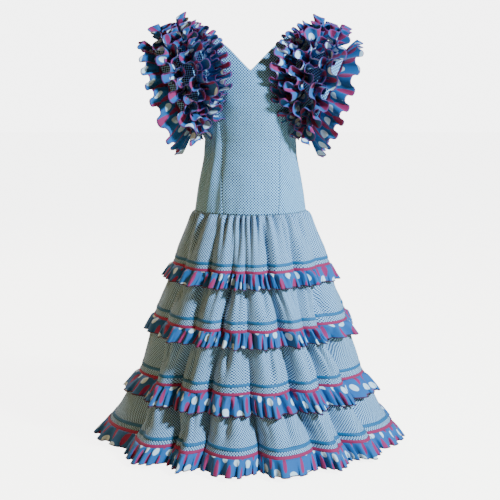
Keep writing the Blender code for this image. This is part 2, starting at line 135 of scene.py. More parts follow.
# Soft creases of the bodice: angle from the centre front, level z, half width of the angle,
# half height, lift in millimetres (negative is a trough), lean of the angle for each metre down
BODICE_CREASES = (
    (-38, -0.46, 5.2, 0.15, -4.8, -12),
    (-48, -0.44, 5, 0.15, 5.5, -20),
    (-61, -0.40, 6, 0.15, -5, -26),
    (-34, -0.20, 5.5, 0.06, -2.6, -30),
    (54, -0.42, 7, 0.15, 3.4, 25),
    (64, -0.42, 6, 0.14, -3.4, 25),
    (-20, -0.24, 9, 0.05, 2, 60),
    (20, -0.24, 9, 0.05, 2, -60),
    (-6, -0.47, 12, 0.07, 1.2, 0),
    (14, -0.52, 6, 0.06, -1.4, 15),
    (-16, -0.54, 6, 0.05, -1.4, -12),
    (150, -0.40, 9, 0.12, 2.8, 10),
    (-150, -0.40, 9, 0.12, 2.8, -10),
    (128, -0.44, 7, 0.12, -3, 12),
    (-128, -0.44, 7, 0.12, -3, -12),
)

# Skirt profile: level z, half width, depth as a share of the half width
SKIRT_LEVELS = (
    (-0.595, 0.188, 0.79),
    (-0.618, 0.204, 0.82),
    (-0.660, 0.222, 0.85),
    (-0.722, 0.246, 0.88),
    (-0.778, 0.261, 0.90),
    (-0.848, 0.281, 0.91),
    (-0.890, 0.300, 0.92),
    (-0.933, 0.318, 0.92),
    (-0.960, 0.326, 0.93),
    (-1.040, 0.343, 0.94),
    (-1.125, 0.367, 0.94),
    (-1.155, 0.377, 0.94),
    (-1.220, 0.414, 0.95),
    (-1.276, 0.446, 0.95),
    (-1.328, 0.486, 0.96),
    (-1.380, 0.500, 0.96),
)
# Tiers: name, lower seam, ribbon centre, fine gathers, phase, width and length of the cut
TIERS = (
    ("tier_1", -0.778, -0.752, 74, 0.3, (1.90, 0.20)),
    ("tier_2", -0.960, -0.929, 88, 1.7, (2.30, 0.20)),
    ("tier_3", -1.155, -1.124, 96, 2.9, (2.70, 0.21)),
    ("tier_4", -1.328, -1.303, 104, 4.4, (3.20, 0.21)),
)
# Folds of each tier, an entry for each trough and the crest after it: angle of the trough
# from the centre front, angle of the crest, depth of the trough and lift of the crest in millimetres
FOLDS = {
    1: ((-62, -44, 12, 4), (-33, -22, 20, 4), (-14, -9, 15, 2), (-4, 4, 10, 4),
        (13.5, 20, 19, 6), (38, 46, 25, 2), (62, 82, 11, 12), (98, 114, 18, 4),
        (130, 148, 24, 2), (168, 188, 16, 4), (208, 228, 22, 3), (248, 272, 14, 4)),
    2: ((-66, -46, 20, 6), (-36, -24, 17, 6), (-18, -10, 34, 4), (-2, 8, 15, 8),
        (18, 26, 35, 6), (34, 41, 16, 2), (47, 68, 32, 14), (92, 106, 18, 16),
        (126, 144, 32, 4), (164, 186, 22, 6), (208, 226, 32, 4), (246, 270, 20, 6)),
    3: ((-62, -52, 34, 8), (-43, -30, 42, 8), (-22, -12, 40, 6), (0, 9, 26, 8),
        (22.5, 30, 42, 8), (42, 50, 40, 6), (60, 82, 26, 14), (98, 114, 34, 8),
        (134, 152, 42, 6), (172, 192, 28, 8), (212, 230, 42, 6), (250, 274, 30, 8)),
    4: ((-60, -43, 48, 10), (-35, -26, 56, 2), (-20.5, -6, 58, 10), (3.5, 11, 54, 20),
        (27.5, 33, 44, 10), (44, 51, 56, 4), (60, 80, 34, 10), (96, 112, 44, 10),
        (132, 150, 56, 8), (170, 190, 40, 10), (210, 228, 56, 8), (248, 274, 40, 10)),
}
FOLD_COUNT = 12
FOLD_SHARPNESS = 0.9
# Small creases of each tier: angle, half width of the angle, lift in millimetres,
# share of the tier where it starts and ends, lean of the angle downwards
CREASES = {
    1: ((-55, 2.8, -5.7, 0, 0.75, 3), (-30, 2.4, -6.5, 0, 0.6, -2), (-9, 2.2, -5.7, 0, 0.9, -1.5),
        (11, 2.2, -7.6, 0, 0.7, 2), (30, 2.4, -6.1, 0.05, 0.85, 3), (52, 2.8, -6.5, 0, 0.6, 4),
        (118, 3.2, -6.5, 0, 0.8, 3), (160, 3, -6.8, 0, 0.65, -2), (-118, 3.2, -6.5, 0, 0.7, -3),
        (-158, 3, -6.8, 0, 0.85, 2)),
    2: ((-58, 2.8, -7.6, 0, 0.7, 3), (-36, 2.5, -8.4, 0, 0.9, -2), (-14, 2.4, -8.7, 0, 0.65, -2),
        (8, 2.4, -8.7, 0, 0.8, 2.5), (29, 2.5, -8, 0, 0.7, 2), (52, 2.8, -7.6, 0, 0.95, 3),
        (119, 3.2, -8, 0, 0.8, 3), (158, 3, -8.4, 0, 0.65, -2), (-121, 3.2, -8, 0, 0.7, -3),
        (-159, 3, -8.4, 0, 0.85, 2)),
    3: ((-54, 2.5, -9.5, 0, 0.75, 2), (-32, 2.2, -9.9, 0, 0.95, -2), (-11.5, 2.1, -10.3, 0, 0.7, -3),
        (10, 2.2, -10.6, 0, 0.85, 2.5), (33, 2.2, -9.5, 0.05, 0.9, 2), (55, 2.5, -9.5, 0, 0.7, 3),
        (120, 3, -9.9, 0, 0.8, 3), (158, 2.8, -10.3, 0, 0.7, -2), (-119, 3, -9.9, 0, 0.75, -3),
        (-157, 2.8, -10.3, 0, 0.9, 2)),
    4: ((-52, 2.2, -11.4, 0, 0.95, 2), (-29, 2, -11.4, 0, 1.2, -1.5), (-9, 2.1, -13.3, 0, 0.85, -2.5),
        (15, 2.2, -11.4, 0, 0.9, 2), (37, 2, -11.4, 0, 1.2, 1.5), (58, 2.2, -11.4, 0, 0.8, 3),
        (120, 2.8, -11.8, 0, 0.95, 3), (160, 2.5, -12.2, 0, 0.85, -2), (-120, 2.8, -11.8, 0, 0.8, -3),
        (-158, 2.5, -12.2, 0, 1.1, 2)),
}
# Thickness of the dotted and of the printed cotton as drawn
COTTON_WALL = 0.0009
PRINT_WALL = 0.0007
# Rounding of the folds, in folds, and the stretch at both ends of a tier's row that has none
FOLD_ROUNDING = 0.06
FOLD_END = 0.07
# Creases: sharpness, then their fades as a share of the tier and the value where they start
CREASE_SHARPNESS = 1.5
FADE_IN = (0.25, 0.3)
FADE_OUT = (0.35, 0.2)
# Broad gathers: depth, rounding of the valleys, middle height, reach downwards, its spread, bend
GATHER_DEPTH = 0.0165
GATHER_ROUNDING = 0.02
GATHER_MIDDLE = 0.68
GATHER_REACH = 0.062
GATHER_SPREAD = 0.024
GATHER_BEND = 1.4
# Fine gathers: depth and reach
FINE_DEPTH = 0.0010
FINE_REACH = 0.020
# Ease of all gathers at the seam: its height, and the value that it starts from
SEAM_EASE = 0.005
SEAM_EASE_START = 0.18
# Tiers: columns, rows above the ribbon and between the trims, gap from one to the next, start
TIER_COLUMNS = 780
TIER_ROWS = 24
SEAM_ROWS = 4
TIER_GAP = 0.0007
TIER_START = 0.0004
# Trims: height measured straight down, then rows, distance from the tier, wall, width of the cut
RIBBON_HEIGHT = 0.0095
BINDING_HEIGHT = 0.0092
RIBBON_TRIM = (4, 0.0009, 0.0004, 0.0105)
BINDING_TRIM = (5, 0.0016, 0.0008, 0.012)
# A ruffle is tucked behind its binding: how far up, and how far out from the tier there
RUFFLE_TUCK = 0.0015
RUFFLE_LIFT = 0.0007
# Ruffles: name, depth, stand-off at the edge, wave depth, step out at the seam, pleats,
# width and length of the cut
RUFFLES = (
    ("ruffle_1", 0.048, 0.012, 0.014, 0.0020, 50, (2.60, 0.055)),
    ("ruffle_2", 0.048, 0.012, 0.014, 0.0020, 56, (3.20, 0.055)),
    ("ruffle_3", 0.058, 0.012, 0.015, 0.0020, 60, (3.80, 0.065)),
    ("ruffle_4", 0.048, 0.024, 0.019, 0.0010, 66, (4.60, 0.060)),
)
RUFFLE_WAVES = 24
RUFFLE_ROWS = 15
COLUMNS_EACH_PLEAT = 16
# Ruffles: share of the depth taken by the step out, closing of the pleats, then how much the
# stand-off, pleats and broad waves count in the lift, bend of the lift, wobble of the edge
STEP_SHARE = 0.07
PLEAT_CLOSING = 0.115
STAND_SHARE = 0.6
PLEAT_SHARE = 1.30
BROAD_SHARE = 0.30
PLEAT_BEND = 0.6
EDGE_WOBBLE = 0.0016
# Outward spread of the lowest ruffle for each metre that it drops
HEM_SPREAD = 1.0 / 3.0

# Sleeves, for the wearer's left: the cuff ring and its directions
CUFF_CENTRE = (0.258, 0.0, -0.192)
CUFF_UP = (0.414, 0.0, 0.910)
CUFF_OUT = (0.910, 0.0, -0.414)
CUFF_HALF_HEIGHT = 0.150
CUFF_HALF_DEPTH = 0.105
AHEAD = np.array((0.0, -1.0, 0.0))
SLEEVE_START = 0.0030
SLEEVE_BULGE = 0.012
# Frills: name, place along the sleeve, half span in degrees, reach at the top, sides and bottom,
# lean towards the cuff at the top, sides and bottom, step out at the seam, cut
FRILLS = (
    ("frill_1", 0.06, 132.0, 0.050, 0.078, 0.078, -0.024, -0.078, -0.034, 0.0034, (2.6, 0.08)),
    ("frill_2", 0.34, 146.0, 0.074, 0.088, 0.086, -0.006, -0.016, -0.020, 0.0037, (3.2, 0.09)),
    ("frill_3", 0.66, 158.0, 0.070, 0.080, 0.084, 0.010, 0.030, 0.014, 0.0013, (3.2, 0.09)),
    ("frill_4", 1.00, 180.0, 0.052, 0.052, 0.062, 0.030, 0.066, 0.074, 0.0, (1.6, 0.07)),
)
# Leaves of the frills: frill, share of the reach, shift of the lean, waves, wave depth, curl, phase
LEAVES = (
    (1, 1.00, 0.004, 22, 0.0150, 0.50, 0.2),
    (1, 0.84, 0.036, 25, 0.0125, 0.56, 1.9),
    (1, 0.60, 0.018, 27, 0.0100, 0.60, 4.0),
    (2, 0.98, -0.028, 16, 0.020, 0.46, 3.1),
    (2, 0.90, 0.020, 15, 0.021, 0.50, 4.4),
    (2, 0.64, -0.004, 19, 0.014, 0.60, 1.2),
    (3, 0.94, -0.032, 16, 0.019, 0.46, 0.9),
    (3, 1.00, 0.010, 15, 0.020, 0.46, 2.3),
    (3, 0.64, -0.010, 19, 0.014, 0.60, 5.6),
    (4, 1.00, 0.000, 20, 0.012, 0.30, 5.2),
)
LEAF_ROWS = 13
# Columns of a leaf: a number for all, and more for each wave
LEAF_COLUMNS = 120
COLUMNS_EACH_WAVE = 6
# Sleeve: rows and columns, depth of its ripple
SLEEVE_GRID = (30, 160)
SLEEVE_RIPPLE = 0.0022
# Leaves: shift of the waves on the wearer's right, step out at the cuff and on the sleeve, tuck
# of the edge between waves, bends of the curl, the swing and the lean
RIGHT_PHASE = 2.6
CUFF_STEP = 0.0015
LEAF_STEP = 0.0006
LEAF_TUCK = 0.16
CURL_BEND = 0.8
SWING_BEND = 0.75
LEAN_BEND = 1.15
# Share of the edge ruffle of a sleeve that its red binding covers, where that colour has ended,
# and the edge value that the other ruffles and frills start from to stay clear of it
BOUND_SHARE = 0.13
BOUND_END = 0.143
UNBOUND = 0.195
# Zip: rows, half width, inset and wall of the tape, then number, size, inset and end margin of the teeth
TAPE_ROWS = 40
TAPE_HALF_WIDTH = 0.004
TAPE_INSET = 0.0019
TAPE_WALL = 0.0005
TEETH = 150
TOOTH = 0.0011
TOOTH_INSET = 0.0014
TEETH_MARGIN = 0.001

# Colours, linear: red, green, blue
GROUND = (0.370, 0.700, 0.980, 1.0)
# Ground of the skirt: the bodice's ground made darker and greyer, painted shade on the tiers
SHADED_SKIRT_GROUND = (0.385, 0.600, 0.800, 1.0)
DOT = (0.006, 0.030, 0.120, 1.0)
RIBBON = (0.000, 0.092, 0.220, 1.0)
BINDING = (0.270, 0.004, 0.060, 1.0)
PRINT = (0.003, 0.088, 0.280, 1.0)
PRINT_WHITE = (0.570, 0.680, 0.760, 1.0)
PRINT_RED = (0.270, 0.006, 0.080, 1.0)
OVERLOCK_HEM = (0.060, 0.006, 0.040, 1.0)
OVERLOCK_SLEEVE = (0.130, 0.020, 0.150, 1.0)
TAPE = (0.400, 0.560, 0.740, 1.0)
METAL = (0.550, 0.570, 0.600, 1.0)
METAL_SHARE = 0.8
METAL_ROUGHNESS = 0.35
FLOOR = (0.620, 0.500, 0.320, 1.0)
FLOOR_GLOW = (0.900, 0.900, 0.900, 1.0)
SKY_WARM = (1.000, 0.760, 0.320, 1.0)
SKY_WHITE = (1.000, 1.000, 1.000, 1.0)
# Finish of the cloths: roughness, sheen, strength of the weave and of the crumples
COTTON_FINISH = (0.88, 0.15, 0.25, 0.20)
PRINT_FINISH = (0.80, 0.12, 0.20, 0.25)
RIBBON_FINISH = (0.72, 0.10, 0.20, 0.10)
PLAIN_FINISH = (0.80, 0.10, 0.20, 0.10)
# Weave and crumples: scale of the noise, its detail, height
WEAVE = (900.0, 2.0, 0.0006)
CRUMPLES = (26.0, 4.0, 0.006)
# Dots and print, in repeats: soft edge of a spot, shift and stretch of ovals and streaks. The
# turns of the print and of the sleeve's dots are in radians
DOT_SOFTNESS = 0.025
PRINT_SOFTNESS = 0.010
OVAL_SHIFT = (0.10, 0.16, 0.0)
OVAL_STRETCH = (0.80, 1.00, 0.0)
OVAL_RADIUS = 0.175
STREAK_SHIFT = (0.60, 0.66, 0.0)
STREAK_STRETCH = (1.60, 0.55, 0.0)
PRINT_TURN = 0.12
SLEEVE_TURN = 0.3
# Prints: colour of the overlocked edge, share of the depth where it starts, radius of the streaks
HEM_PRINT = (OVERLOCK_HEM, 0.930, 0.20)
SLEEVE_PRINT = (OVERLOCK_SLEEVE, 0.950, 0.27)
OVERLOCK_SOFTNESS = 0.015

# Stage: half width of the floor, its depth below the dress, strength of its glow for the camera
FLOOR_HALF = 14.0
FLOOR_DROP = 0.012
FLOOR_GLOW_STRENGTH = 5.6
FLOOR_ROUGHNESS = 0.9
LIGHT_AIM = (0.0, 0.0, -0.7)
# Lights: name, setting of the power, how many times that power, place, size, colour
LIGHTS = (
    ("key", "key_power", 1.0, (3.5, -2.7, 1.8), 0.6, (0.56, 0.82, 1.0)),
    ("fill", "fill_power", 2.6, (-3.8, -1.3, 0.5), 2.4, (1.0, 0.60, 0.20)),
    ("back", "fill_power", 6.0, (-1.4, 3.2, 1.9), 2.0, (1.0, 1.0, 1.0)),
)
CAMERA_PLACE = (-0.0015, -4.4, 0.0)
SENSOR_WIDTH = 36.0


def at_level(table, index, z):
    """A column of a table read at a level, straight between its rows."""
    rows = sorted(table)
    return np.interp(z, [row[0] for row in rows], [row[index] for row in rows])


def smooth(x):
    """Ease from 0 to 1: three times the square less twice the cube."""
    x = np.clip(x, 0.0, 1.0)
    return x * x * (3.0 - 2.0 * x)


def unit(vectors):
    """Vectors of length one."""
    return vectors / np.maximum(np.linalg.norm(vectors, axis=-1, keepdims=True), 1e-12)


def grid_normals(points, closed):
    """Outward direction at each point, the cross product of its downward and sideways steps."""
    down = np.gradient(points, axis=0)
    if closed:
        across = np.roll(points, -1, axis=1) - np.roll(points, 1, axis=1)
    else:
        across = np.gradient(points, axis=1)
    return unit(np.cross(down, across))


def run_lengths(points, axis, closed):
    """Distance walked along rows or columns, with one more column where the grid is closed."""
    if closed and axis == 1:
        points = np.concatenate([points, points[:, :1]], axis=1)
    steps = np.linalg.norm(np.diff(points, axis=axis), axis=2)
    start = np.zeros_like(np.take(steps, [0], axis=axis))
    return np.concatenate([start, np.cumsum(steps, axis=axis)], axis=axis)


def cloth_uv(points, closed):
    """Flat position of each point on its cut in metres: along the longest row, and down."""
    along = run_lengths(points, 1, closed).max(axis=0)
    down = run_lengths(points, 0, closed).mean(axis=1)
    u, v = np.meshgrid(along, -down)
    return np.stack([u, v], axis=-1)


class Sheet:
    """Grids of cloth gathered into one mesh, with a flat position and an edge value each."""

    def __init__(self):
        self.points = []
        self.faces = []
        self.uvs = []
        self.edges = []
        self.count = 0

    def add(self, points, closed, edge=0.0, uv=None):
        """Add a grid: rows downwards, columns anticlockwise as seen from above."""
        rows, columns = points.shape[:2]
        flat = cloth_uv(points, closed) if uv is None else uv
        steps = columns if closed else columns - 1
        row, col = np.meshgrid(np.arange(rows - 1), np.arange(steps), indexing="ij")
        row, col = row.ravel(), col.ravel()
        following = (col + 1) % columns
        corners = np.stack([row * columns + col, (row + 1) * columns + col,
                            (row + 1) * columns + following, row * columns + following], axis=1)
        spots = np.stack([flat[row, col], flat[row + 1, col],
                          flat[row + 1, col + 1], flat[row, col + 1]], axis=1)
        self.faces.append(corners + self.count)
        self.uvs.append(spots.reshape(-1, 2))
        self.points.append(points.reshape(-1, 3))
        self.edges.append(np.broadcast_to(edge, (rows, columns)).ravel())
        self.count += rows * columns

    def build(self, name, material, thickness):
        """Make the object, a wall of the given thickness about its grids."""
        points = np.concatenate(self.points)
        faces = np.concatenate(self.faces)
        mesh = bpy.data.meshes.new(name)
        mesh.from_pydata(points.tolist(), [], faces.tolist())
        mesh.polygons.foreach_set("use_smooth", np.ones(len(faces), dtype=bool))
        layer = mesh.uv_layers.new(name="UVMap")
        layer.data.foreach_set("uv", np.concatenate(self.uvs).astype(np.float32).ravel())
        edge = mesh.attributes.new("edge", "FLOAT", "POINT")
        edge.data.foreach_set("value", np.concatenate(self.edges).astype(np.float32))
        mesh.update()
        item = bpy.data.objects.new(name, mesh)
        bpy.context.scene.collection.objects.link(item)
        mesh.materials.append(material)
        if thickness > 0.0:
            wall = item.modifiers.new("wall", "SOLIDIFY")
            wall.thickness = thickness
            wall.offset = 0.0
        return item


def fix(item, node):
    """Fix a piece to the dress in place of a node."""
    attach(item, "dress")
    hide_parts(node)


def dress_piece(sheet, name, node, material, thickness):
    """Build a piece of cloth and fix it to the dress."""
    item = sheet.build(name, material, thickness)
    fix(item, node)


def side_word(side):
    """Ending of a name for the wearer's left or right."""
    return "_left" if side > 0 else "_right"


def feed(tree, item, inputs):
    """Give a shader node its inputs, as values or sockets."""
    for key, value in inputs.items():
        if isinstance(value, bpy.types.NodeSocket):
            tree.links.new(value, item.inputs[key])
        else:
            item.inputs[key].default_value = value


def link(tree, kind, inputs, **settings):
    """Add a shader node with its settings and its inputs."""
    item = tree.nodes.new(kind)
    for key, value in settings.items():
        setattr(item, key, value)
    feed(tree, item, inputs)
    return item


def new_material(name):
    """An empty material and its tree, with a surface shader."""
    material = bpy.data.materials.new(name)
    material.use_nodes = True
    tree = material.node_tree
    return material, tree, tree.nodes["Principled BSDF"]


def vector_math(tree, operation, *values):
    """A vector operation on sockets or constants."""
    return link(tree, "ShaderNodeVectorMath", dict(enumerate(values)), operation=operation)


def ramp(tree, value, start, end, low=0.0, high=1.0):
    """A value carried from one range to another and kept inside it."""
    return link(tree, "ShaderNodeMapRange", {"Value": value, "From Min": start, "From Max": end,
                                             "To Min": low, "To Max": high}).outputs[0]


def lattice(tree, flat, shift, stretch, radius, softness):
    """Mask of spots on a square lattice: 1 inside the radius, 0 outside."""
    moved = vector_math(tree, "ADD", flat, shift)
    inside = vector_math(tree, "FRACTION", moved.outputs[0])
    centred = vector_math(tree, "SUBTRACT", inside.outputs[0], (0.5, 0.5, 0.0))
    shaped = vector_math(tree, "MULTIPLY", centred.outputs[0], stretch)
    far = vector_math(tree, "LENGTH", shaped.outputs[0]).outputs["Value"]
    return ramp(tree, far, radius - softness, radius + softness, 1.0, 0.0)


def mixed(tree, mask, below, above):
    """One colour over another where the mask is 1."""
    return link(tree, "ShaderNodeMix", {0: mask, 6: below, 7: above}, data_type="RGBA").outputs[2]


def flat_cloth(tree, period, turn):
    """Position on the cut, in repeats of a pattern, turned by an angle."""
    place = link(tree, "ShaderNodeUVMap", {}, uv_map="UVMap")
    moved = link(tree, "ShaderNodeMapping", {"Vector": place.outputs[0], "Rotation": (0.0, 0.0, turn),
                                             "Scale": (1.0 / period, 1.0 / period, 1.0)})
    return moved.outputs[0]


def finish_cloth(tree, shader, finish):
    """Roughness and sheen of a cloth, and its unevenness: a weave, and soft crumples over it."""
    place = link(tree, "ShaderNodeTexCoord", {}).outputs["Object"]
    inputs = {}
    for (scale, detail, height), strength in zip((WEAVE, CRUMPLES), finish[2:]):
        noise = link(tree, "ShaderNodeTexNoise", {"Vector": place, "Scale": scale, "Detail": detail})
        inputs.update({"Height": noise.outputs[0], "Strength": strength, "Distance": height})
        inputs["Normal"] = link(tree, "ShaderNodeBump", inputs).outputs[0]
    normal = inputs["Normal"]
    feed(tree, shader, {"Roughness": finish[0], "Sheen Weight": finish[1], "Normal": normal})


def dotted_cotton(name, turn, ground=GROUND):
    """Pale cotton with small dark dots on a staggered lattice."""
    material, tree, shader = new_material(name)
    settings = bpy.context.scene.dress_looks
    flat = flat_cloth(tree, settings.dot_spacing, turn)
    radius = settings.dot_size / settings.dot_spacing / 2.0
    masks = [lattice(tree, flat, (shift, shift, 0.0), (1.0, 1.0, 0.0), radius, DOT_SOFTNESS)
             for shift in (0.0, 0.5)]
    mask = link(tree, "ShaderNodeMath", dict(enumerate(masks)), operation="MAXIMUM").outputs[0]
    feed(tree, shader, {"Base Color": mixed(tree, mask, ground, DOT)})
    finish_cloth(tree, shader, COTTON_FINISH)
    return material


def printed_cotton(name, overlock, edge_start, streak_radius):
    """Blue cotton with white ovals and red streaks, its edge overlocked and its bound seam red."""
    material, tree, shader = new_material(name)
    flat = flat_cloth(tree, bpy.context.scene.dress_looks.print_spacing, PRINT_TURN)
    ovals = lattice(tree, flat, OVAL_SHIFT, OVAL_STRETCH, OVAL_RADIUS, PRINT_SOFTNESS)
    streaks = lattice(tree, flat, STREAK_SHIFT, STREAK_STRETCH, streak_radius, PRINT_SOFTNESS)
    colour = mixed(tree, ovals, PRINT, PRINT_WHITE)
    colour = mixed(tree, streaks, colour, PRINT_RED)
    value = link(tree, "ShaderNodeAttribute", {}, attribute_name="edge").outputs["Fac"]
    colour = mixed(tree, ramp(tree, value, BOUND_SHARE, BOUND_END, 1.0, 0.0), colour, BINDING)
    edge = ramp(tree, value, edge_start, edge_start + OVERLOCK_SOFTNESS)
    feed(tree, shader, {"Base Color": mixed(tree, edge, colour, overlock)})
    finish_cloth(tree, shader, PRINT_FINISH)
    return material


def plain_cloth(name, colour, finish):
    """Cloth of one colour."""
    material, tree, shader = new_material(name)
    feed(tree, shader, {"Base Color": colour})
    finish_cloth(tree, shader, finish)
    return material


def bodice_base(angle, z, behind):
    """Bodice as cut: half width times the sine of the angle, depth times its cosine, at each level."""
    half_width = at_level(BODICE_LEVELS, 1, z)
    depth = at_level(BODICE_LEVELS, 3 if behind else 2, z)
    x = half_width * np.sin(angle)
    y = depth * np.cos(angle) + SHOULDER_EDGE * smooth((z + SHOULDER_EDGE_REACH) / SHOULDER_EDGE_REACH)
    fade = smooth((z + SHOULDER_DROP_REACH) / SHOULDER_DROP_REACH)
    drop = SHOULDER_DROP * np.maximum(np.abs(x) - NECK_POINT_X, 0.0) * fade
    return np.stack([x, y if behind else -y, z - drop], axis=-1)


def bodice_lift(degrees, z):
    """Sum of the soft creases: each a bell of the angle times a bell of the level.

    Above the hip seam come puckers, and all over a product of two faint waves.
    """
    lift = np.zeros(np.broadcast(degrees, z).shape)
    for angle, level, half_angle, half_height, height, lean in BODICE_CREASES:
        shift = (degrees - angle + lean * (z - level)) / half_angle
        lift += height * MILLIMETRE * np.exp(-shift ** 2 - ((z - level) / half_height) ** 2)
    turn = np.radians(degrees)
    pucker = PUCKER * np.exp(-(z - HIP_Z) / PUCKER_REACH)
    lift += pucker * np.sin(turn * 41.0 + 2.0 * np.sin(turn * 7.0))
    lift += WAVINESS * np.sin(turn * 5.0 + z * 21.0) * np.sin(z * 37.0 + turn * 3.0)
    return lift * smooth(-z / CALM_HEIGHT)


def build_panel(angle, z, behind, name, node, material, spread=None):
    """A panel: the base moved along its normal by the creases, its two side edges rolled in.

    With a spread, the flat position is the width seen from ahead times it, and the level.
    """
    base = bodice_base(angle, z, behind)
    degrees = np.degrees(angle)
    if behind:
        degrees = np.where(degrees >= 0.0, 180.0 - degrees, -180.0 - degrees)
    lift = bodice_lift(degrees, z)
    for edge in (base[:, :1], base[:, -1:]):
        near = np.linalg.norm(base - edge, axis=2)
        lift = lift - SEAM_ROLL * np.exp(-(near / SEAM_ROLL_WIDTH) ** 2)
    points = base + grid_normals(base, False) * lift[..., None]
    uv = None if spread is None else np.stack([points[..., 0] * spread, points[..., 2]], axis=-1)
    sheet = Sheet()
    sheet.add(points, False, uv=uv)
    dress_piece(sheet, name, node, material, COTTON_WALL)


def mirror(points, side):
    """A grid put on one side, its columns turned so that it faces outwards."""
    if side > 0:
        return points
    return (points * (-1.0, 1.0, 1.0))[:, ::-1]


def panel_grid(size, start):
    """Shares down a panel, and steps across it from the start to 1."""
    rows, columns = size
    return np.meshgrid(np.linspace(0.0, 1.0, rows), np.linspace(start, 1.0, columns), indexing="ij")


def panel_levels(top, share):
    """Levels down one column, from its own top to the hip seam."""
    return top + (HIP_Z - top) * share


def front_top(step):
    """Top of the front panel: the V neck, then the strap."""
    step = np.abs(step)
    neck = NECK_FRONT_Z * (1.0 - np.clip(step / STRAP_SHARE, 0.0, 1.0) ** NECK_FRONT_BEND)
    return np.where(step < STRAP_SHARE, neck, 0.0)


def back_top(step):
    """Top of a back panel: level over the zip, then the V, then the strap."""
    run = np.clip((step - ZIP_FLAT_SHARE) / (STRAP_SHARE - ZIP_FLAT_SHARE), 0.0, 1.0)
    return NECK_BACK_Z * (1.0 - run ** NECK_BACK_BEND)


def build_front_panel(material):
    """Centre front panel, with the V neck and the fronts of the straps."""
    share, step = panel_grid(FRONT_GRID, -1.0)
    z = panel_levels(front_top(step), share)
    outer = np.radians(at_level(SEAM_ANGLES, 1, z)) - SEAM_HALF_GAP / FRONT_RADIUS
    build_panel(step * outer, z, False, "front_cloth", "bodice_front", material,
                FRONT_SPREAD)


def build_side_panel(side, material):
    """Side front panel, from the princess seam round to the side seam."""
    share, step = panel_grid(SIDE_GRID, 0.0)
    princess_top = HIP_Z * PRINCESS_TOP_SHARE
    top = princess_top + (UNDERARM_Z - princess_top) * np.sin(step * np.pi / 2.0)
    z = panel_levels(top, share)
    inner = np.radians(at_level(SEAM_ANGLES, 1, z)) + SEAM_HALF_GAP / SIDE_RADIUS
    outer = np.radians(90.0) - SEAM_HALF_GAP / SIDE_RADIUS
    angle = inner + (outer - inner) * step
    if side < 0:
        angle, z = -angle[:, ::-1], z[:, ::-1]
    word = side_word(side)
    build_panel(angle, z, False, "side_cloth" + word, "bodice_side" + word, material)


def build_back_panel(side, material):
    """Back panel of one side, from the zip to the side seam."""
    share, step = panel_grid(BACK_GRID, 0.0)
    z = panel_levels(back_top(step), share)
    inner = SEAM_HALF_GAP / SIDE_RADIUS
    outer = np.radians(at_level(SEAM_ANGLES, 2, z)) - SEAM_HALF_GAP / SIDE_RADIUS
    angle = inner + (outer - inner) * step
    if side > 0:
        angle, z = angle[:, ::-1], z[:, ::-1]
    else:
        angle = -angle
    word = side_word(side)
    build_panel(angle, z, True, "back_cloth" + word, "bodice_back" + word, material)


def wave(share, count, phase):
    """A sine with so many waves over the whole share."""
    return np.sin(2.0 * np.pi * count * share + phase)


def fold_angles(number, place):
    """Angle in degrees at each place among a tier's folds: a trough at whole numbers, a crest between."""
    knots = [angle for row in FOLDS[number] for angle in row[:2]] + [FOLDS[number][0][0] + 360.0]
    steps = np.arange(len(knots)) / 2.0
    shifts = (-FOLD_ROUNDING, 0.0, FOLD_ROUNDING)
    rounded = sum(np.interp(place + shift, steps, knots) for shift in shifts) / 3.0
    near_end = np.minimum(place, FOLD_COUNT - place) < FOLD_END
    return np.where(near_end, np.interp(place, steps, knots), rounded)


def fold_push(number, place):
    """Outward push at each place: sharp troughs of their own depth, round crests between them."""
    before = np.floor(place).astype(int) % FOLD_COUNT
    share = place - np.floor(place)
    nearest = np.where(share < 0.5, before, before + 1) % FOLD_COUNT
    depth = np.array([row[2] for row in FOLDS[number]])[nearest]
    lift = np.array([row[3] for row in FOLDS[number]])[before]
    crest = np.sin(np.pi * share) ** FOLD_SHARPNESS
    return (lift * crest - depth * (1.0 - crest)) * MILLIMETRE


def crease_push(number, degrees, run):
    """Small creases of a tier: a narrow bell of the angle that fades in and out downwards."""
    push = np.zeros(np.broadcast(degrees, run).shape)
    for angle, half_angle, height, start, end, lean in CREASES[number]:
        turn = np.mod(degrees - angle - lean * run + 180.0, 360.0) - 180.0
        fade = smooth((run - start) / FADE_IN[0] + FADE_IN[1])
        fade = fade * smooth((end - run) / FADE_OUT[0] + FADE_OUT[1])
        bell = np.exp(-np.abs(turn / half_angle) ** CREASE_SHARPNESS)
        push += height * MILLIMETRE * bell * fade
    return push


def gather_push(share, run, gathers, height, phase):
    """Gathers below the seam: fine ripples, and broad ones with round ridges and narrow valleys.

    A broad one is the size of a sine of half its angle, lower at every zero; both fade downwards.
    Slow sines of the share make their spacing, size and reach uneven.
    """
    far = np.maximum(run, 0.0) * height
    ripple = np.sin(2.0 * np.pi * gathers * share + 2.4 * wave(share, 7, phase))
    turn = 2.0 * np.pi * (gathers // 3 + 2) * share + 0.8 * wave(share, 7, 2.0 * phase)
    turn = turn + 1.1 * wave(share, 3, 3.0 * phase)
    size = 0.80 + 0.20 * wave(share, 11, phase)
    reach = GATHER_REACH + GATHER_SPREAD * wave(share, 8, 1.6 * phase)
    fine = FINE_DEPTH * ripple * np.exp(-far / FINE_REACH)
    ridge = np.sqrt(np.sin(turn / 2.0) ** 2 + GATHER_ROUNDING) - GATHER_MIDDLE
    broad = GATHER_DEPTH * ridge * size * np.exp(-(far / reach) ** GATHER_BEND)
    return (fine + broad) * smooth(far / SEAM_EASE + SEAM_EASE_START)


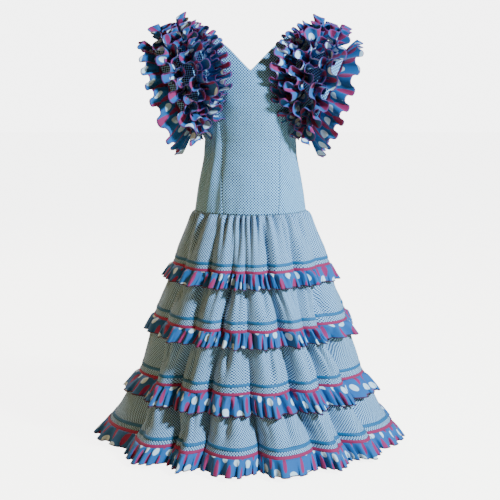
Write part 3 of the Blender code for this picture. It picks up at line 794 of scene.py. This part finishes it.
class Tier:
    """Surface of one gathered tier as a function of the place among its folds and the level."""

    def __init__(self, number, row, top_z):
        self.name, self.low_z, ribbon_z, self.gathers, self.phase, self.cut = row
        self.number = number
        self.top_z = top_z
        self.ribbon_top = ribbon_z + RIBBON_HEIGHT / 2.0
        self.ribbon_low = ribbon_z - RIBBON_HEIGHT / 2.0
        self.binding_top = self.low_z + BINDING_HEIGHT
        self.amount = bpy.context.scene.dress_looks.fold_amount

    def surface(self, place, z):
        """Points of the tier: the folds of the seam above ease into its own by the ribbon.

        The half width and depth at a level, pushed outwards, times the sine and cosine of the angle.
        """
        place = np.mod(place, FOLD_COUNT)
        height = self.top_z - self.low_z
        run = (self.top_z - z) / height
        ease = smooth((self.top_z - z) / (self.top_z - self.ribbon_top))
        degrees = fold_angles(self.number, place)
        push = fold_push(self.number, place)
        above, push_above = degrees, 0.0
        if self.number > 1:
            above = fold_angles(self.number - 1, place)
            push_above = fold_push(self.number - 1, place)
        push = push_above * (1.0 - ease) + push * ease
        degrees = above * (1.0 - ease) + degrees * ease
        push = push + crease_push(self.number, degrees, run) * self.amount
        share = place / FOLD_COUNT
        push = push + gather_push(share, run, self.gathers, height, self.phase) * self.amount
        half_width = at_level(SKIRT_LEVELS, 1, z)
        depth = half_width * at_level(SKIRT_LEVELS, 2, z)
        turn = np.radians(degrees)
        return np.stack([(half_width + push) * np.sin(turn), -(depth + push) * np.cos(turn), z], axis=-1)

    def points(self, levels):
        """A grid of the surface, rows at the levels."""
        place, z = np.meshgrid(FOLD_COUNT * np.arange(TIER_COLUMNS) / TIER_COLUMNS, levels)
        return self.surface(place, z)

    def levels(self):
        """Levels of the cloth's rows: those of the ribbon and the binding are among them."""
        ends = (self.top_z - TIER_START, self.ribbon_top, self.ribbon_low, self.binding_top, self.low_z)
        counts = (TIER_ROWS, RIBBON_TRIM[0], SEAM_ROWS, BINDING_TRIM[0])
        levels = [np.linspace(start, end, rows)[:-1] for start, end, rows in zip(ends, ends[1:], counts)]
        return np.append(np.concatenate(levels), self.low_z)

    def build(self, material):
        """Cloth of the tier."""
        sheet = Sheet()
        sheet.add(self.points(self.levels()), True)
        dress_piece(sheet, self.name + "_cloth", self.name, material, 0.0)

    def strip(self, high, low, trim, kind, material):
        """A strip laid on the tier: its own points moved out along their normals."""
        rows, out, wall, width = trim
        grid = self.points(np.linspace(high, low, rows))
        sheet = Sheet()
        sheet.add(grid + grid_normals(grid, True) * out, True)
        dress_piece(sheet, "%s_band_%d" % (kind, self.number), "%s_%d" % (kind, self.number), material,
                    wall)


def ruffle_points(number, tier, below, share, runs):
    """A ruffle: it starts on the seam ring, drops, and its pleats stand out more towards the edge.

    The pleats are a sine of the share; the columns shift with twice that sine, so that each
    pleat closes over the next. Broad waves, a cosine of the share, come on top. Slow sines of
    the share make all of them uneven.
    """
    depth, stand_off, wave_depth, step_out, pleats = RUFFLES[number - 1][1:6]
    phase = 1.1 * number
    share, run = np.meshgrid(share, runs)
    turn = 2.0 * np.pi * pleats * share + 1.7 * wave(share, 6, phase)
    turn = turn + 1.1 * wave(share, 11, 2.0 * phase)
    place = FOLD_COUNT * (share - PLEAT_CLOSING / pleats * np.sin(2.0 * turn) * run)
    size = 0.72 + 0.28 * wave(share, 13, phase)
    pleat = 0.5 + 0.5 * np.sin(turn) * size
    uneven = 0.78 + 0.22 * wave(share, 4, 0.91 * number)
    broad = 0.5 + 0.5 * np.cos(2.0 * np.pi * RUFFLE_WAVES * share) * uneven
    lift = RUFFLE_LIFT + (step_out - RUFFLE_LIFT) * smooth(run / STEP_SHARE)
    swing = wave_depth * (PLEAT_SHARE * pleat + BROAD_SHARE * broad) * run ** PLEAT_BEND
    lift = lift + STAND_SHARE * stand_off * run + swing
    drop = depth * run + EDGE_WOBBLE * np.sin(turn * 0.5 + 1.0) * run ** 2
    level = tier.low_z + RUFFLE_TUCK - drop
    if below is None:
        start = tier.surface(place, np.full_like(place, tier.low_z))
        start[..., :2] *= (1.0 + HEM_SPREAD * drop)[..., None]
    else:
        start = below.surface(place, level)
    start[..., 2] = level
    out = unit(start * (1.0, 1.0, 0.0))
    return start + out * lift[..., None]


def make_tiers():
    """The four tiers, each starting on the lower seam of the one above."""
    tiers = []
    top_z = HIP_Z - TIER_GAP
    for number, row in enumerate(TIERS, start=1):
        tiers.append(Tier(number, row, top_z))
        top_z = row[1] - TIER_GAP
    return tiers


def build_ruffle(number, tiers, material):
    """One printed ruffle below its binding."""
    name, pleats, cut = RUFFLES[number - 1][0], RUFFLES[number - 1][5], RUFFLES[number - 1][6]
    below = tiers[number] if number < len(tiers) else None
    columns = pleats * COLUMNS_EACH_PLEAT
    runs = np.linspace(0.0, 1.0, RUFFLE_ROWS)
    points = ruffle_points(number, tiers[number - 1], below, np.arange(columns) / columns, runs)
    sheet = Sheet()
    sheet.add(points, True, edge=np.maximum(runs, UNBOUND)[:, None])
    dress_piece(sheet, name + "_cloth", name, material, PRINT_WALL)


def armhole_ring(angles):
    """Edge of the bodice round the wearer's left arm: 0 is the shoulder, a quarter turn the front."""
    height = 0.5 + 0.5 * np.cos(angles)
    z = UNDERARM_Z * (1.0 - height)
    front = np.radians(at_level(SEAM_ANGLES, 2, np.maximum(z, UNDERARM_EDGE_Z)))
    behind = np.sin(angles) < 0.0
    return np.where(behind[..., None], bodice_base(front, z, True), bodice_base(front, z, False))


def radial_of(angles):
    """Direction away from the sleeve's middle at each angle."""
    return np.cos(angles)[..., None] * np.array(CUFF_UP) + np.sin(angles)[..., None] * AHEAD


def sleeve_point(angles, run):
    """Sleeve: straight between the armhole and the cuff ellipse, with a slight bulge."""
    cuff = np.array(CUFF_CENTRE) + np.cos(angles)[..., None] * np.array(CUFF_UP) * CUFF_HALF_HEIGHT
    cuff = cuff + np.sin(angles)[..., None] * (AHEAD * CUFF_HALF_DEPTH)
    start = armhole_ring(angles) + np.array((SLEEVE_START, 0.0, 0.0))
    run = np.asarray(run)[..., None]
    return start * (1.0 - run) + cuff * run + radial_of(angles) * np.sin(np.pi * run) * SLEEVE_BULGE


def build_sleeve(side, material):
    """Short flared sleeve of dotted cotton, its ripple a sine that grows towards the cuff."""
    rows, columns = SLEEVE_GRID
    angles, run = np.meshgrid(2.0 * np.pi * np.arange(columns) / columns, np.linspace(0.0, 1.0, rows))
    points = sleeve_point(angles, run)
    ripple = SLEEVE_RIPPLE * np.sin(angles * 17.0 + 2.0 * np.sin(angles * 3.0))
    ripple = ripple * (0.3 + 0.7 * run) * smooth(run / 0.1)
    points = points + radial_of(angles) * ripple[..., None]
    sheet = Sheet()
    sheet.add(mirror(points, side), True)
    word = side_word(side)
    dress_piece(sheet, "sleeve_cloth" + word, "sleeve" + word, material, COTTON_WALL)


def round_value(angles, top, side, bottom):
    """A value that changes smoothly from the top over the sides to the bottom."""
    middle = (top + 2.0 * side + bottom) / 4.0
    bend = (top + bottom - 2.0 * side) / 4.0
    return middle + (top - bottom) / 2.0 * np.cos(angles) + bend * np.cos(2.0 * angles)


def leaf_points(frill, leaf, side, share, runs):
    """A leaf of a frill: it stands off the sleeve and swings along it in a sine of the share.

    The angles shift with twice that sine, so that the waves close over each other. Slow sines
    of the share make their spacing and reach uneven.
    """
    place, span = frill[1:3]
    reach_share, lean_shift, waves, depth, curl, phase = leaf[1:]
    if side < 0:
        phase = phase + RIGHT_PHASE
    share, run = np.meshgrid(share, runs)
    if span < 180.0:
        turn = 2.0 * np.pi * waves * share + 1.5 * wave(share, 3, phase)
        whole = 2.0 * np.radians(span)
        angles = whole * (share - 0.5)
    else:
        turn = 2.0 * np.pi * waves * share + 1.2 * wave(share, 4, phase)
        whole = 2.0 * np.pi
        angles = whole * share
    angles = angles - curl * whole / waves / 4.0 * np.sin(2.0 * turn) * run ** CURL_BEND
    uneven = 0.94 + 0.08 * wave(share, 5, 2.0 * phase)
    reach = round_value(angles, *frill[3:6]) * reach_share * uneven
    lean = round_value(angles, *frill[6:9]) + lean_shift
    swing = depth * np.sin(turn) * run ** SWING_BEND
    radial = radial_of(angles)
    root = sleeve_point(angles, np.full_like(run, place))
    if span < 180.0:
        root = root + radial * (frill[9] + LEAF_STEP)
    else:
        root = root + np.array(CUFF_OUT) * CUFF_STEP
    tuck = 1.0 - LEAF_TUCK * smooth((np.sin(turn * 0.5 + phase) + 1.0) / 2.0) * run
    out = radial * (reach * run * tuck)[..., None]
    along = np.array(CUFF_OUT) * (lean * run ** LEAN_BEND + swing)[..., None]
    return root + out + along


def build_frill(number, side, material):
    """One frill of a sleeve, with its leaves; the one at the cuff goes all round."""
    frill = FRILLS[number - 1]
    closed = frill[2] >= 180.0
    sheet = Sheet()
    runs = np.linspace(0.0, 1.0, LEAF_ROWS)
    edge = runs if closed else np.maximum(runs, UNBOUND)
    for leaf in LEAVES:
        if leaf[0] == number:
            count = LEAF_COLUMNS + leaf[3] * COLUMNS_EACH_WAVE
            share = np.arange(count) / count if closed else np.linspace(0.0, 1.0, count + 1)
            points = mirror(leaf_points(frill, leaf, side, share, runs), side)
            sheet.add(points, closed, edge=edge[:, None])
    word = side_word(side)
    dress_piece(sheet, frill[0] + "_cloth" + word, frill[0] + word, material, PRINT_WALL)


def build_zip(material):
    """Tape inside the centre-back seam, with its closed teeth down the middle."""
    low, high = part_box("zip_chain")
    z = np.linspace(high[2], low[2], TAPE_ROWS)
    depth = at_level(BODICE_LEVELS, 3, z) - TAPE_INSET
    columns = (TAPE_HALF_WIDTH, 0.0, -TAPE_HALF_WIDTH)
    sheet = Sheet()
    sheet.add(np.stack([np.stack([np.full_like(z, x), depth, z], axis=-1) for x in columns], axis=1), False)
    length = high[2] - low[2] - 2.0 * TEETH_MARGIN
    for index in range(TEETH):
        level = high[2] - TEETH_MARGIN - length * index / TEETH
        y = float(at_level(BODICE_LEVELS, 3, level)) - TOOTH_INSET
        rows = [[(TOOTH, y, edge), (-TOOTH, y, edge)] for edge in (level, level - TOOTH)]
        sheet.add(np.array(rows), False)
    fix(sheet.build("zip_tape", material, TAPE_WALL), "zip_chain")


def build_metal_parts():
    """Grey metal on the slider and its pull."""
    material, tree, shader = new_material("zip_metal")
    feed(tree, shader, {"Base Color": METAL, "Metallic": METAL_SHARE, "Roughness": METAL_ROUGHNESS})
    for name in ("zip_slider", "zip_pull"):
        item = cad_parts[name]
        item.data.materials.clear()
        item.data.materials.append(material)


def build_floor():
    """Pale floor under the dress; it glows white where the camera sees it."""
    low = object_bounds()[0][2] - FLOOR_DROP
    points = np.array([[(FLOOR_HALF, y, low), (-FLOOR_HALF, y, low)] for y in (-FLOOR_HALF, FLOOR_HALF)])
    sheet = Sheet()
    sheet.add(points, False)
    material, tree, shader = new_material("floor")
    seen = link(tree, "ShaderNodeLightPath", {}).outputs["Is Camera Ray"]
    glow = ramp(tree, seen, 0.0, 1.0, 0.0, FLOOR_GLOW_STRENGTH)
    feed(tree, shader, {"Base Color": FLOOR, "Roughness": FLOOR_ROUGHNESS, "Emission Color": FLOOR_GLOW,
                        "Emission Strength": glow})
    sheet.build("floor", material, 0.0)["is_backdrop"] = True


def add_light(name, place, size, power, colour):
    """A soft square light aimed at the middle of the dress."""
    data = bpy.data.lights.new(name, "AREA")
    data.size = size
    data.energy = power
    data.color = colour
    item = bpy.data.objects.new(name, data)
    bpy.context.scene.collection.objects.link(item)
    item.location = place
    way = np.array(LIGHT_AIM) - np.array(place)
    flat = math.hypot(way[0], way[1])
    item.rotation_euler = (math.pi / 2.0 + math.atan2(way[2], flat), 0.0, math.atan2(-way[0], way[1]))


def build_lights(settings):
    """A cool key light from the right, a warm one from the left, a white one from behind.

    The sky lights the dress warmly and faintly; the camera sees it bright and white.
    """
    for name, power, times, place, size, colour in LIGHTS:
        add_light(name, place, size, getattr(settings, power) * times, colour)
    world = bpy.data.worlds.new("sky")
    world.use_nodes = True
    tree = world.node_tree
    background = tree.nodes["Background"]
    seen = link(tree, "ShaderNodeLightPath", {}).outputs["Is Camera Ray"]
    strength = ramp(tree, seen, 0.0, 1.0, settings.sky_power, settings.backdrop_power)
    feed(tree, background, {"Strength": strength, "Color": mixed(tree, seen, SKY_WARM, SKY_WHITE)})
    bpy.context.scene.world = world


def build_camera(settings):
    """Camera in front of the dress, level with the shoulders and looking a little down."""
    data = bpy.data.cameras.new("camera")
    data.sensor_width = SENSOR_WIDTH
    data.lens = settings.lens
    item = bpy.data.objects.new("camera", data)
    bpy.context.scene.collection.objects.link(item)
    item.location = CAMERA_PLACE
    item.rotation_euler = (math.pi / 2.0 - settings.camera_pitch, 0.0, 0.0)
    bpy.context.scene.camera = item


def setting(name, description, default, subtype="NONE"):
    """A number that the panel shows."""
    return bpy.props.FloatProperty(name=name, description=description, default=default, subtype=subtype)


class DressLooks(bpy.types.PropertyGroup):
    """Sizes that change the look of the dress."""
    dot_spacing: setting("Dot spacing", "Distance between dots of one row", 0.0094, "DISTANCE")
    dot_size: setting("Dot size", "Width of a dot", 0.0057, "DISTANCE")
    print_spacing: setting("Print spacing", "Repeat of the ruffle print", 0.078, "DISTANCE")
    fold_amount: setting("Fold amount", "Strength of the creases and gathers of the skirt", 1.75)


class StageLooks(bpy.types.PropertyGroup):
    """Sizes of the stage."""
    key_power: setting("Key power", "Power of the right-hand light in watts", 790.0)
    fill_power: setting("Fill power", "Base power of the other lights in watts", 22.0)
    sky_power: setting("Sky power", "Strength of the sky as a light", 0.09)
    backdrop_power: setting("Backdrop power", "Strength of the sky where the camera sees it", 5.4)
    lens: setting("Lens", "Focal length in millimetres", 93.46)
    camera_pitch: setting("Camera pitch", "How far the camera looks down", math.radians(9.5), "ANGLE")


class DRESS_OT_bodice(bpy.types.Operator):
    """Build the bodice panels"""
    bl_idname = "dress.bodice"
    bl_label = "Bodice"

    def execute(self, context):
        material = dotted_cotton("bodice_cotton", 0.0)
        build_front_panel(material)
        for side in (1.0, -1.0):
            build_side_panel(side, material)
            build_back_panel(side, material)
        return {"FINISHED"}


class DRESS_OT_skirt(bpy.types.Operator):
    """Build the tiers with their ribbons, bindings and ruffles"""
    bl_idname = "dress.skirt"
    bl_label = "Skirt"

    def execute(self, context):
        # The skirt's cotton takes the darker ground, painted shade
        cotton = dotted_cotton("skirt_cotton", 0.0, SHADED_SKIRT_GROUND)
        ribbon = plain_cloth("ribbon_satin", RIBBON, RIBBON_FINISH)
        binding = plain_cloth("bias_binding", BINDING, PLAIN_FINISH)
        printed = printed_cotton("ruffle_print", *HEM_PRINT)
        tiers = make_tiers()
        for number, tier in enumerate(tiers, start=1):
            tier.build(cotton)
            tier.strip(tier.ribbon_top, tier.ribbon_low, RIBBON_TRIM, "ribbon", ribbon)
            tier.strip(tier.binding_top, tier.low_z, BINDING_TRIM, "binding", binding)
            build_ruffle(number, tiers, printed)
        return {"FINISHED"}


class DRESS_OT_sleeves(bpy.types.Operator):
    """Build the sleeves with their frills"""
    bl_idname = "dress.sleeves"
    bl_label = "Sleeves"

    def execute(self, context):
        cotton = dotted_cotton("sleeve_cotton", SLEEVE_TURN)
        printed = printed_cotton("frill_print", *SLEEVE_PRINT)
        for side in (1.0, -1.0):
            build_sleeve(side, cotton)
            for number in (1, 2, 3, 4):
                build_frill(number, side, printed)
        return {"FINISHED"}


class DRESS_OT_zip(bpy.types.Operator):
    """Build the zip"""
    bl_idname = "dress.zip"
    bl_label = "Zip"

    def execute(self, context):
        build_zip(plain_cloth("zip_tape", TAPE, PLAIN_FINISH))
        build_metal_parts()
        return {"FINISHED"}


class DRESS_OT_stage(bpy.types.Operator):
    """Build the floor, lights and camera"""
    bl_idname = "dress.stage"
    bl_label = "Stage"

    def execute(self, context):
        settings = context.scene.stage_looks
        build_floor()
        build_lights(settings)
        build_camera(settings)
        return {"FINISHED"}


class DRESS_PT_panel(bpy.types.Panel):
    """Panel with the sizes and the steps"""
    bl_label = "Dress"
    bl_idname = "DRESS_PT_panel"
    bl_space_type = "VIEW_3D"
    bl_region_type = "UI"
    bl_category = "Dress"

    def draw(self, context):
        """Show the sizes, then a button for each step."""
        for group in (context.scene.dress_looks, context.scene.stage_looks):
            for name in group.__annotations__:
                self.layout.prop(group, name)
        for step in STEPS:
            self.layout.operator(step.bl_idname)


STEPS = (DRESS_OT_bodice, DRESS_OT_skirt, DRESS_OT_sleeves, DRESS_OT_zip, DRESS_OT_stage)
CLASSES = (DressLooks, StageLooks) + STEPS + (DRESS_PT_panel,)


def register():
    """Register the classes and their settings."""
    for item in CLASSES:
        bpy.utils.register_class(item)
    bpy.types.Scene.dress_looks = bpy.props.PointerProperty(type=DressLooks)
    bpy.types.Scene.stage_looks = bpy.props.PointerProperty(type=StageLooks)


def unregister():
    """Take the classes and their settings away again."""
    del bpy.types.Scene.dress_looks
    del bpy.types.Scene.stage_looks
    for item in reversed(CLASSES):
        bpy.utils.unregister_class(item)


def main():
    """Build every piece."""
    register()
    bpy.ops.dress.bodice()
    bpy.ops.dress.skirt()
    bpy.ops.dress.sleeves()
    bpy.ops.dress.zip()
    bpy.ops.dress.stage()


if __name__ == "__main__":
    main()
